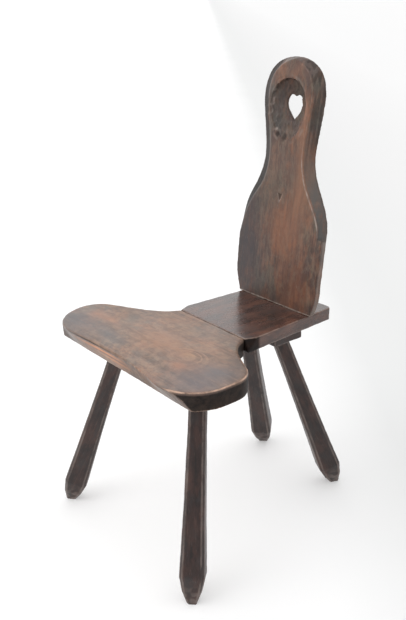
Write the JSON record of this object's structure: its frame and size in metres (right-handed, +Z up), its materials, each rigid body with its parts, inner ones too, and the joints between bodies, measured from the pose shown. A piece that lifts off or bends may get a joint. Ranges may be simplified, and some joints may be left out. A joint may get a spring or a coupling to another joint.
{
  "type": "milking stool",
  "caption": "Low wooden stool with a lobed two-board seat, splayed pointed legs and an upright back rest pierced by a heart, all joined with wood.",
  "frame": {"origin": "centre of the stool's box on the floor, midway between the front feet's and the rear feet's reach, and midway between the left lobe's and the front right foot's reach, which is 9 mm to the left of the middle of the plank and the back rest", "axes": "+Z up, -Y the way a sitter faces, +X to the sitter's left, which is the right in a front view"},
  "size_m": [0.458, 0.4972, 0.8721],
  "materials": {
    "seat_wood": "stained and waxed, worn on the edges",
    "back_wood": "stained and waxed",
    "leg_wood": "stained and waxed",
    "peg_wood": "dark oiled"
  },
  "bodies": {
    "root": {"seat_front_board": "seat_wood", "seat_rear_plank": "seat_wood", "tongue_pegs": "peg_wood", "leg_batten": "leg_wood", "batten_pegs": "peg_wood", "leg_front_left": "leg_wood", "leg_front_right": "leg_wood", "leg_rear_left": "leg_wood", "leg_rear_right": "leg_wood", "front_leg_wedges": "peg_wood", "rear_leg_wedges": "peg_wood", "back_splat": "back_wood", "splat_key_left": "peg_wood", "splat_key_right": "peg_wood"}
  },
  "joints": []
}
